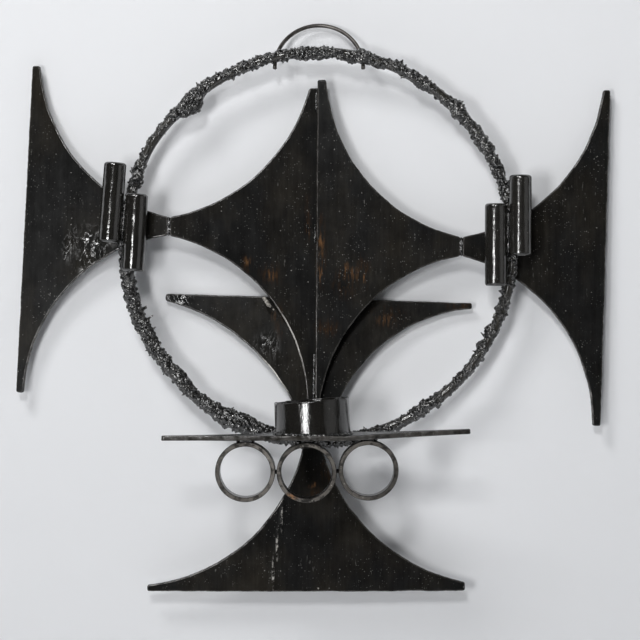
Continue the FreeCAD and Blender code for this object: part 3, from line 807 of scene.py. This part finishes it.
def turned(name, profile, foot, top, segments, wander, seed):
    """Solid of revolution: profile is the radius in mm and the share of the way from foot to top."""
    foot, top = Vector(foot), Vector(top)
    axis = (top - foot).normalized()
    side = axis.cross(Vector((0, 1, 0))).normalized()
    front = axis.cross(side)
    length = (top - foot).length
    points = []
    for radius, share in profile:
        for angle in turn_angles(segments):
            swell = 1.0 + wander / radius * ring_noise(angle, 3, share * length * 0.12 + seed)
            away = side * math.cos(angle) + front * math.sin(angle)
            points.append((foot + axis * share * length + away * radius * swell) * MM)
    rows = len(profile)
    ends = [tuple(reversed(range(segments))), tuple(range((rows - 1) * segments, rows * segments))]
    return recalculated(name, mesh_of(name, points, band_faces(rows, segments) + ends))


def recalculated(name, data):
    """Object of a mesh, its doubles merged and its faces turned outwards."""
    mesh = bmesh.new()
    mesh.from_mesh(data)
    bmesh.ops.remove_doubles(mesh, verts=mesh.verts, dist=1e-7)
    bmesh.ops.recalc_face_normals(mesh, faces=mesh.faces)
    mesh.to_mesh(data)
    mesh.free()
    return new_object(name, data)


def swept(name, path, radius, sides=20, closed=False):
    """Round bar along a path of points in mm."""
    path = [Vector(p) for p in path]
    count = len(path)
    points = []
    for i, at in enumerate(path):
        ahead = path[(i + 1) % count] if closed or i + 1 < count else at
        behind = path[i - 1] if closed or i > 0 else at
        along = (ahead - behind).normalized()
        side = along.cross(Vector((0, 1, 0))).normalized()
        over = side.cross(along)
        for angle in turn_angles(sides):
            points.append((at + (side * math.cos(angle) + over * math.sin(angle)) * radius) * MM)
    faces = band_faces(count, sides, closed)
    if not closed:
        faces += [tuple(range(sides)), tuple(range((count - 1) * sides, count * sides))]
    return recalculated(name, mesh_of(name, points, faces))


# ---------------------------------------------------------------------------
# Weld droplets
# ---------------------------------------------------------------------------

def droplet_tree():
    """Geometry Nodes that melt a droplet on every point into one skin of weld."""
    tree = bpy.data.node_groups.get("Weld droplets")
    if tree:
        return tree
    tree = bpy.data.node_groups.new("Weld droplets", "GeometryNodeTree")
    face = tree.interface
    face.new_socket("Geometry", in_out="INPUT", socket_type="NodeSocketGeometry")
    for label, kind, value in (
        ("Voxel size", "NodeSocketFloat", 0.8 * MM), ("Grain height", "NodeSocketFloat", 0.5 * MM),
        ("Grain scale", "NodeSocketFloat", 420.0), ("Seed", "NodeSocketInt", 1),
    ):
        face.new_socket(label, in_out="INPUT", socket_type=kind).default_value = value
    face.new_socket("Metal", in_out="INPUT", socket_type="NodeSocketMaterial")
    face.new_socket("Geometry", in_out="OUTPUT", socket_type="NodeSocketGeometry")

    def node(kind, inputs=None, **settings):
        return add_node(tree, kind, inputs, **settings)

    given = node("NodeGroupInput").outputs
    droplet = node("GeometryNodeMeshIcoSphere", {"Radius": 1.0, "Subdivisions": 3})
    size = node("GeometryNodeInputNamedAttribute", {"Name": "droplet"}, data_type="FLOAT")
    squash = node("FunctionNodeRandomValue", {
        0: (0.82, 0.82, 0.82), 1: (1.18, 1.18, 1.18), "Seed": given["Seed"],
    }, data_type="FLOAT_VECTOR")
    scale = node("ShaderNodeVectorMath", {
        0: squash.outputs[0], "Scale": size.outputs["Attribute"],
    }, operation="SCALE")
    turn = node("FunctionNodeRandomValue", {
        1: (6.28, 6.28, 6.28), "Seed": given["Seed"],
    }, data_type="FLOAT_VECTOR")
    spread = node("GeometryNodeInstanceOnPoints", {
        "Points": given["Geometry"], "Instance": droplet.outputs["Mesh"],
        "Rotation": turn.outputs[0], "Scale": scale.outputs[0],
    })
    real = node("GeometryNodeRealizeInstances", {0: spread.outputs[0]})
    band = node("ShaderNodeMath", {0: given["Voxel size"], 1: 2.0}, operation="MULTIPLY")
    cloud = node("GeometryNodeMeshToVolume", {
        "Mesh": real.outputs[0], "Voxel Size": given["Voxel size"], "Interior Band Width": band.outputs[0],
    }, resolution_mode="VOXEL_SIZE")
    skin = node("GeometryNodeVolumeToMesh", {
        "Volume": cloud.outputs[0], "Voxel Size": given["Voxel size"], "Threshold": 0.1,
    }, resolution_mode="VOXEL_SIZE")
    grain = node("ShaderNodeTexNoise", {"Scale": given["Grain scale"], "Detail": 3.0})
    level = node("ShaderNodeMath", {0: grain.outputs["Fac"], 1: 0.5}, operation="SUBTRACT")
    lift = node("ShaderNodeMath", {0: level.outputs[0], 1: given["Grain height"]}, operation="MULTIPLY")
    normal = node("GeometryNodeInputNormal").outputs[0]
    along = node("ShaderNodeVectorMath", {0: normal, "Scale": lift.outputs[0]}, operation="SCALE")
    move = node("GeometryNodeSetPosition", {"Geometry": skin.outputs[0], "Offset": along.outputs[0]})
    paint = node("GeometryNodeSetMaterial", {"Geometry": move.outputs[0], "Material": given["Metal"]})
    node("NodeGroupOutput", {0: paint.outputs[0]})
    return tree


def melted(name, points, sizes, metal, voxel, grain, seed):
    """Piece of weld metal with a droplet of each size at each point, all in mm."""
    data = mesh_of(name + "_droplets", [Vector(p) * MM for p in points], [])
    data.attributes.new("droplet", "FLOAT", "POINT").data.foreach_set("value", [s * MM for s in sizes])
    piece = new_object(name, data)
    modifier = piece.modifiers.new("Weld droplets", "NODES")
    modifier.node_group = droplet_tree()
    wanted = {"Voxel size": voxel * MM, "Grain height": grain * MM, "Seed": seed, "Metal": metal}
    for item in modifier.node_group.interface.items_tree:
        if item.in_out == "INPUT" and item.name in wanted:
            modifier[item.identifier] = wanted[item.name]
    view = bpy.context.evaluated_depsgraph_get()
    grown = bpy.data.meshes.new_from_object(piece.evaluated_get(view))
    piece.modifiers.clear()
    piece.data = grown
    bpy.data.meshes.remove(data)
    if len(grown.polygons) < 50:
        raise RuntimeError(f"{name} grew no weld")
    return piece


def crust_reach(degrees, column):
    """Reach of the weld at that angle: outwards in column 1, inwards in column 2."""
    angles = [row[0] for row in CRUST_REACH]
    return float(np.interp(degrees % 360, angles, [row[column] for row in CRUST_REACH]))


def hoop_place(degrees, radius, forward=0.0):
    angle = math.radians(degrees)
    return Vector(HOOP_MIDDLE) + Vector((math.cos(angle) * radius, -forward, math.sin(angle) * radius))


def bare_step(degrees):
    """How far the bar itself stands outwards where little weld covers it, in mm."""
    return BARE_STEP * math.exp(-((degrees - BARE_AT) / BARE_SPREAD) ** 2)


def crust_droplets(rng):
    """Droplets of the weld round the hoop: a core in the bar's place and spatter over it."""
    radius = bpy.context.scene.sconce_sizes.hoop_radius / MM
    points, sizes = [], []
    for degrees in np.arange(0, 360, CORE_STEP):
        outer, inner = crust_reach(degrees, 1), crust_reach(degrees, 2)
        body = (outer + inner) / 2 - SPATTER_ROOM
        middle = radius + (outer - inner) / 2
        core = min(body, CORE_LIMIT) * rng.uniform(0.92, 1.04)
        reach = max(0.0, body - core)
        for side in (-1, 1) if reach > 0.4 else (0,):
            points.append(hoop_place(degrees, middle + side * reach))
            sizes.append(core)
    for _ in range(SPATTER_DROPS):
        degrees = rng.uniform(0, 360)
        around = rng.uniform(0, 2 * math.pi)
        outer, inner = crust_reach(degrees, 1), crust_reach(degrees, 2)
        wide = outer if math.cos(around) > 0 else inner
        deep = min((outer + inner) / 2, SPATTER_DEPTH)
        size = min(float(np.clip(rng.lognormal(0.22, 0.42), 0.7, 2.8)), (outer + inner) / 4)
        lift = rng.uniform(0.5, 1.05)
        across = math.cos(around) * (wide - size * lift)
        forward = math.sin(around) * (deep - size * lift)
        points.append(hoop_place(degrees, radius + across, forward))
        sizes.append(size)
    drips = list(LONG_DRIPS)
    drips += [(rng.uniform(0, 360), rng.choice((-1, 1)), 0.0) for _ in range(SHORT_DRIPS)]
    for degrees, side, reach in drips:
        start = crust_reach(degrees, 1 if side > 0 else 2)
        reach = reach or start + rng.uniform(0.8, 2.4)
        lean = rng.uniform(-0.5, 0.5)
        for step in np.arange(start - 2.5, reach, 0.5):
            at = degrees + lean * (step - start) * 0.3
            points.append(hoop_place(at, radius + side * step, rng.uniform(-0.3, 0.3)))
            sizes.append(1.45 - 0.6 * (step - start + 2.5) / (reach - start + 2.5))
    return points, sizes


def run_droplets(first, last, radius, rng):
    """Droplets of one short run of weld, thin at its ends."""
    first, last = Vector(first), Vector(last)
    length = (last - first).length
    count = max(6, int(length / (radius * 0.28)))
    along = (last - first).normalized()
    side = along.orthogonal().normalized()
    over = along.cross(side)
    points, sizes = [], []
    for i in range(count):
        share = i / (count - 1)
        body = radius * (1 - 0.5 * abs(2 * share - 1) ** 4) * (1 + 0.10 * math.cos(i * 1.9))
        points.append(first.lerp(last, share))
        sizes.append(body * 0.86)
        for _ in range(3):
            angle = rng.uniform(0, 2 * math.pi)
            small = body * rng.uniform(0.26, 0.46)
            away = (side * math.cos(angle) + over * math.sin(angle)) * (body - small * 0.85)
            points.append(first.lerp(last, share) + away)
            sizes.append(small)
    return points, sizes


def all_droplets(runs, rng):
    """Droplets of several runs of weld, one run after the other."""
    points, sizes = [], []
    for first, last, radius in runs:
        more, grown = run_droplets(first, last, radius, rng)
        points += more
        sizes += grown
    return points, sizes


CAMERA_PLACE = (0.001, -2.236, -0.296)      # in m
SENSOR_WIDTH = 36.0
FRAME_PIXELS = 640.0
FOCAL_PIXELS = 2200.0           # the lens's focal length, in pixels of the frame

# The room in m: half its width, its depth, the wall's top and the floor's level.
ROOM_HALF_WIDTH, ROOM_DEPTH, ROOM_TOP, FLOOR_LEVEL = 4.0, 6.0, 3.0, -1.4

# Lamps: direction from the object, distance in m, width and height in m, power in W.
LAMP_AIM = (0.0, 0.0, -0.27)    # the place that every lamp faces, in m
LAMPS = (
    ("key lamp", (-0.67, -1.0, 1.08), 2.5, 0.66, 0.66, 19.04),
    ("side lamp", (-0.38, -1.0, -0.07), 2.55, 0.40, 0.62, 17.88),
    ("near lamp", (-0.13, -1.0, 0.42), 3.1, 0.44, 0.44, 25.0),
    ("right fill", (1.0, -0.62, 0.15), 2.6, 1.8, 1.8, 2.9),
)
STUDIO_GLOW = 0.02
STUDIO_TINT = (0.97, 0.985, 1.0, 1.0)


# ---------------------------------------------------------------------------
# Operators
# ---------------------------------------------------------------------------

class SCONCE_OT_camera(bpy.types.Operator):
    """Stand the camera level in front of the wall, as far off as the photograph was taken"""

    bl_idname = "sconce.camera"
    bl_label = "Camera"

    def execute(self, context):
        data = bpy.data.cameras.new("Camera")
        data.sensor_width = SENSOR_WIDTH
        data.lens = SENSOR_WIDTH * FOCAL_PIXELS / FRAME_PIXELS
        data.clip_end = 50.0
        camera = new_object("Camera", data)
        camera.location = CAMERA_PLACE
        camera.rotation_euler = (math.radians(90), 0, 0)
        context.scene.camera = camera
        return {"FINISHED"}


class SCONCE_OT_stage(bpy.types.Operator):
    """Put up the pale wall and floor and the soft lamps"""

    bl_idname = "sconce.stage"
    bl_label = "Wall and lamps"

    def execute(self, context):
        left, right = -ROOM_HALF_WIDTH, ROOM_HALF_WIDTH
        wall = [(left, 0, FLOOR_LEVEL), (right, 0, FLOOR_LEVEL), (right, 0, ROOM_TOP), (left, 0, ROOM_TOP)]
        front = [(left, -ROOM_DEPTH, FLOOR_LEVEL), (right, -ROOM_DEPTH, FLOOR_LEVEL)]
        floor = front + [wall[1], wall[0]]
        for name, corners, paint in (("wall", wall, wall_paint), ("floor", floor, floor_paint)):
            sheet = new_object(name, mesh_of(name, corners, [(0, 1, 2, 3)]))
            sheet.data.materials.append(finish_named(name + " paint", paint))
        for name, towards, far, wide, high, power in LAMPS:
            data = bpy.data.lights.new(name, "AREA")
            data.shape = "RECTANGLE"
            data.size, data.size_y = wide, high
            data.energy = power
            lamp = new_object(name, data)
            away = Vector(towards).normalized()
            lamp.location = Vector(LAMP_AIM) + away * far
            lamp.rotation_euler = away.to_track_quat("Z", "Y").to_euler()
        world = bpy.data.worlds.new("Studio")
        world.use_nodes = True
        world.node_tree.nodes["Background"].inputs["Strength"].default_value = STUDIO_GLOW
        world.node_tree.nodes["Background"].inputs["Color"].default_value = STUDIO_TINT
        context.scene.world = world
        context.scene.view_settings.view_transform = "Standard"
        return {"FINISHED"}


class SCONCE_OT_plates(bpy.types.Operator):
    """Cut the seven plates: wings, centre blades, leaf, bottom blade and shelf"""

    bl_idname = "sconce.plates"
    bl_label = "Plates"

    def execute(self, context):
        lacquer = finish_named("lacquered plate", lacquered_plate)
        for number, (name, spec) in enumerate(BLADES.items()):
            plate = torch_cut_plate(name + "_cut", spec, 11.7 * number + 3.1)
            settle(plate, [lacquer], "plate", name)
        return {"FINISHED"}


class SCONCE_OT_hoop(bpy.types.Operator):
    """Bend the hoop's bar and build the weld up round it"""

    bl_idname = "sconce.hoop"
    bl_label = "Hoop"

    def execute(self, context):
        sizes = context.scene.sconce_sizes
        radius = sizes.hoop_radius / MM
        path = [hoop_place(degrees, radius + bare_step(degrees)) for degrees in np.arange(0, 360, 1.5)]
        bar = swept("hoop_bar", path, sizes.hoop_bar / MM / 2, 24, closed=True)
        steel = finish_named("hoop bar", drawn_bar, 2.0, 0.7, 0.16)
        settle(bar, [steel], "hoop", "main_ring")
        points, droplets = crust_droplets(np.random.default_rng(41))
        metal = finish_named("weld metal", weld_metal)
        crust = melted("hoop_weld", points, droplets, metal, *CRUST_SKIN, 3)
        settle(crust, [metal], "weld", "ring_weld_crust")
        return {"FINISHED"}


class SCONCE_OT_rods(bpy.types.Operator):
    """Turn the four short rods that stand in front of the hoop"""

    bl_idname = "sconce.rods"
    bl_label = "Rods"

    def execute(self, context):
        radius = context.scene.sconce_sizes.rod / MM / 2
        for number, (name, (foot, top)) in enumerate(RODS.items()):
            length = (Vector(top) - Vector(foot)).length
            rounding = ROD_ROUNDING / length
            profile = [(radius - ROD_ROUNDING - ROD_END_RING, 0.0)]
            for step in range(6):
                angle = math.radians(18 * step)
                inset = ROD_ROUNDING * (1 - math.sin(angle))
                profile.append((radius - inset, rounding * (1 - math.cos(angle))))
            shoulders = [(r, 1 - share) for r, share in reversed(profile)]
            for step in range(1, ROD_ROWS):
                profile.append((radius, rounding + (1 - 2 * rounding) * step / ROD_ROWS))
            profile += shoulders
            rod = turned(name + "_bar", profile, foot, top, ROD_SEGMENTS, ROD_WANDER, number * 5.0)
            if "right" in name:
                steel = finish_named("right rods", drawn_bar, 1.0, 0.50, 0.13, 1.6)
            else:
                steel = finish_named("left rods", drawn_bar, 0.8, 0.40, 0.10, 1.65)
            settle(rod, [steel], "rod", name)
        return {"FINISHED"}


class SCONCE_OT_cup(bpy.types.Operator):
    """Cut the candle cup from pipe, with a ragged torch-cut rim, and weld it to the shelf"""

    bl_idname = "sconce.cup"
    bl_label = "Candle cup"

    def execute(self, context):
        sizes = context.scene.sconce_sizes
        outside = sizes.cup_outside / MM / 2
        inside = outside - sizes.cup_wall / MM
        foot = Vector(CUP_FOOT)
        lean = math.radians(CUP_LEAN)
        axis = Vector((-math.sin(lean), 0, math.cos(lean)))
        rim_height, rim_slope = CUP_RIM
        segments, rise = 192, 14
        points = []

        def ring(radius, share, lift):
            for angle in turn_angles(segments):
                base = foot + Vector((math.cos(angle), math.sin(angle), 0)) * radius
                low = foot.z - CUP_SUNK + bent_up(base.x, SHELF_CRANK)
                high = rim_height + (base.x - foot.x) * math.tan(math.radians(rim_slope))
                ragged = 0.9 * ring_noise(angle, 4, 2.0) + 0.5 * ring_noise(angle, 13, 5.0)
                z = low + (high + ragged + lift - low) * share
                points.append((base + axis * (z - foot.z)) * MM)

        for step in range(rise):
            ring(outside, step / rise, 0.0)
        for inset, lift in CUP_LIP:
            ring(outside - inset, 1.0, lift)
        for inset, lift in reversed(CUP_LIP):
            ring(inside + inset, 1.0, lift)
        for step in range(rise - 1, -1, -1):
            ring(inside, step / rise, 0.0)
        faces = band_faces(len(points) // segments, segments, closed=True)
        cup = recalculated("cup_pipe", mesh_of("cup_pipe", points, faces))
        steel = finish_named("cup pipe", drawn_bar, 0.75, 0.50, 0.12, 1.5)
        settle(cup, [steel], "plate", "candle_cup")
        self.weld_down(foot, outside + 0.6)
        return {"FINISHED"}

    def weld_down(self, foot, radius):
        """Lays the bead round the cup's foot."""
        rng = np.random.default_rng(7)
        spots, droplets = [], []
        for degrees in np.arange(0, 360, 2.2):
            angle = math.radians(degrees)
            x = foot.x + math.cos(angle) * radius
            z = foot.z + 0.1 + bent_up(x, SHELF_CRANK)
            spots.append((x, foot.y + math.sin(angle) * radius, z + rng.uniform(-0.3, 0.5)))
            droplets.append(rng.uniform(1.3, 2.1))
        metal = finish_named("weld metal", weld_metal)
        settle(melted("cup_bead", spots, droplets, metal, *BEAD_SKIN, 5), [metal], "weld", "cup_weld")


class SCONCE_OT_slices(bpy.types.Operator):
    """Saw the three slices of pipe that hang under the shelf"""

    bl_idname = "sconce.slices"
    bl_label = "Pipe slices"

    def execute(self, context):
        sizes = context.scene.sconce_sizes
        outside = sizes.pipe_outside / MM / 2
        inside = outside - sizes.pipe_wall / MM
        front, back, chamfer, segments = SLICE_FRONT, SLICE_BACK, SLICE_CHAMFER, 128
        along = [front + chamfer, front + SLICE_END_BAND, back - SLICE_END_BAND, back - chamfer]
        outer = [(outside - chamfer, front), *((outside, y) for y in along), (outside - chamfer, back)]
        inner = [(inside + chamfer, front), *((inside, y) for y in along), (inside + chamfer, back)]
        profile = outer + inner[::-1]
        rows = len(profile)
        flat = [1 if profile[row][1] == profile[(row + 1) % rows][1] else 0 for row in range(rows)]
        sawn = [row for row in flat for _ in range(segments)]
        materials = [finish_named("pipe wall", pipe_wall), finish_named("sawn face", sawn_face)]
        for number, (name, (x, z)) in enumerate(PIPE_SLICES.items()):
            points = []
            for radius, y in profile:
                for angle in turn_angles(segments):
                    wide = radius + SLICE_WANDER * ring_noise(angle, 2, number * 4 + radius * 0.1)
                    points.append(Vector((x + math.cos(angle) * wide, y, z + math.sin(angle) * wide)) * MM)
            faces = band_faces(rows, segments, closed=True)
            piece = recalculated(name + "_slice", mesh_of(name + "_slice", points, faces))
            settle(piece, materials, "pipe", name)
            piece.data.polygons.foreach_set("material_index", sawn)
            piece.data.set_sharp_from_angle(angle=math.radians(40))
        self.tack(outside)
        return {"FINISHED"}

    def tack(self, outside):
        """Tacks the slices to the shelf and to each other."""
        rng = np.random.default_rng(19)
        places = list(PIPE_SLICES.values())
        seams = [(x + step, z + outside + 0.3) for x, z in places for step in (-TACK_SPREAD, TACK_SPREAD)]
        seams += [((a[0] + b[0]) / 2, (a[1] + b[1]) / 2) for a, b in zip(places, places[1:])]
        first, last = SLICE_FRONT + TACK_INSET, SLICE_BACK - TACK_INSET
        spots, droplets = all_droplets([((x, first, z), (x, last, z), TACK_RADIUS) for x, z in seams], rng)
        metal = finish_named("weld metal", weld_metal)
        tacks = melted("slice_tacks", spots, droplets, metal, *BEAD_SKIN, 9)
        settle(tacks, [metal], "weld", "pipe_ring_welds")


class SCONCE_OT_hanger(bpy.types.Operator):
    """Bend the wire loop that the sconce hangs by"""

    bl_idname = "sconce.hanger"
    bl_label = "Hanging loop"

    def execute(self, context):
        tilt = math.radians(HANGER_TILT)
        crown_y, crown_z = HANGER_CROWN

        def at(across, down):
            return Vector((across, crown_y - down * math.sin(tilt), crown_z - down * math.cos(tilt)))

        path = [at(-HANGER_HALF_WIDTH, HANGER_LEG_DROP)]
        steps = 64
        for i in range(steps + 1):
            angle = math.pi * (i / steps - 0.5)
            path.append(at(HANGER_HALF_WIDTH * math.sin(angle), HANGER_BEND_DROP * (1 - math.cos(angle))))
        path.append(at(HANGER_HALF_WIDTH, HANGER_LEG_DROP))
        loop = swept("hanging_wire", path, context.scene.sconce_sizes.wire / MM / 2)
        settle(loop, [finish_named("wire steel", wire_steel)], "wire", "hanger_loop")
        return {"FINISHED"}


class SCONCE_OT_welds(bpy.types.Operator):
    """Lay the short runs of weld that join the pieces, and the chips of slag on their edges"""

    bl_idname = "sconce.welds"
    bl_label = "Welds"

    def execute(self, context):
        rng = np.random.default_rng(23)
        metal = finish_named("dark weld", weld_metal, 0.6)
        for number, (name, runs) in enumerate(WELD_RUNS.items()):
            spots, droplets = all_droplets(runs, rng)
            piece = melted(name + "_bead", spots, droplets, metal, *BEAD_SKIN, 30 + number)
            settle(piece, [metal], "weld", name)
        spots, droplets = [], []
        for place, size in CHIPS:
            spots.append(Vector(place))
            droplets.append(size)
            for _ in range(3):
                spots.append(Vector(place) + Vector([rng.uniform(-0.8, 0.8) * size for _ in range(3)]))
                droplets.append(size * rng.uniform(0.4, 0.6))
        slag = finish_named("pale slag", pale_slag)
        settle(melted("slag_chips", spots, droplets, slag, *CHIP_SKIN, 77), [slag], "weld")
        return {"FINISHED"}


class SCONCE_PT_panel(bpy.types.Panel):
    """Sidebar list of the sconce's pieces"""

    bl_idname = "SCONCE_PT_panel"
    bl_label = "Candle sconce"
    bl_space_type = "VIEW_3D"
    bl_region_type = "UI"
    bl_category = "Sconce"

    def draw(self, context):
        layout = self.layout
        for group in (context.scene.sconce_sizes, context.scene.sconce_colours):
            for name in group.bl_rna.properties.keys():
                if name not in ("rna_type", "name"):
                    layout.prop(group, name)
        for operator in OPERATORS:
            layout.operator(operator.bl_idname)


OPERATORS = (
    SCONCE_OT_camera, SCONCE_OT_stage, SCONCE_OT_plates, SCONCE_OT_hoop, SCONCE_OT_rods, SCONCE_OT_cup,
    SCONCE_OT_slices, SCONCE_OT_hanger, SCONCE_OT_welds,
)
CLASSES = (SconceSizes, SconceColours, *OPERATORS, SCONCE_PT_panel)


def register():
    for one in CLASSES:
        bpy.utils.register_class(one)
    bpy.types.Scene.sconce_sizes = bpy.props.PointerProperty(type=SconceSizes)
    bpy.types.Scene.sconce_colours = bpy.props.PointerProperty(type=SconceColours)


def unregister():
    del bpy.types.Scene.sconce_colours
    del bpy.types.Scene.sconce_sizes
    for one in reversed(CLASSES):
        bpy.utils.unregister_class(one)


def main():
    register()
    for operator in OPERATORS:
        getattr(bpy.ops.sconce, operator.bl_idname.split(".")[1])()


if __name__ == "__main__":
    main()
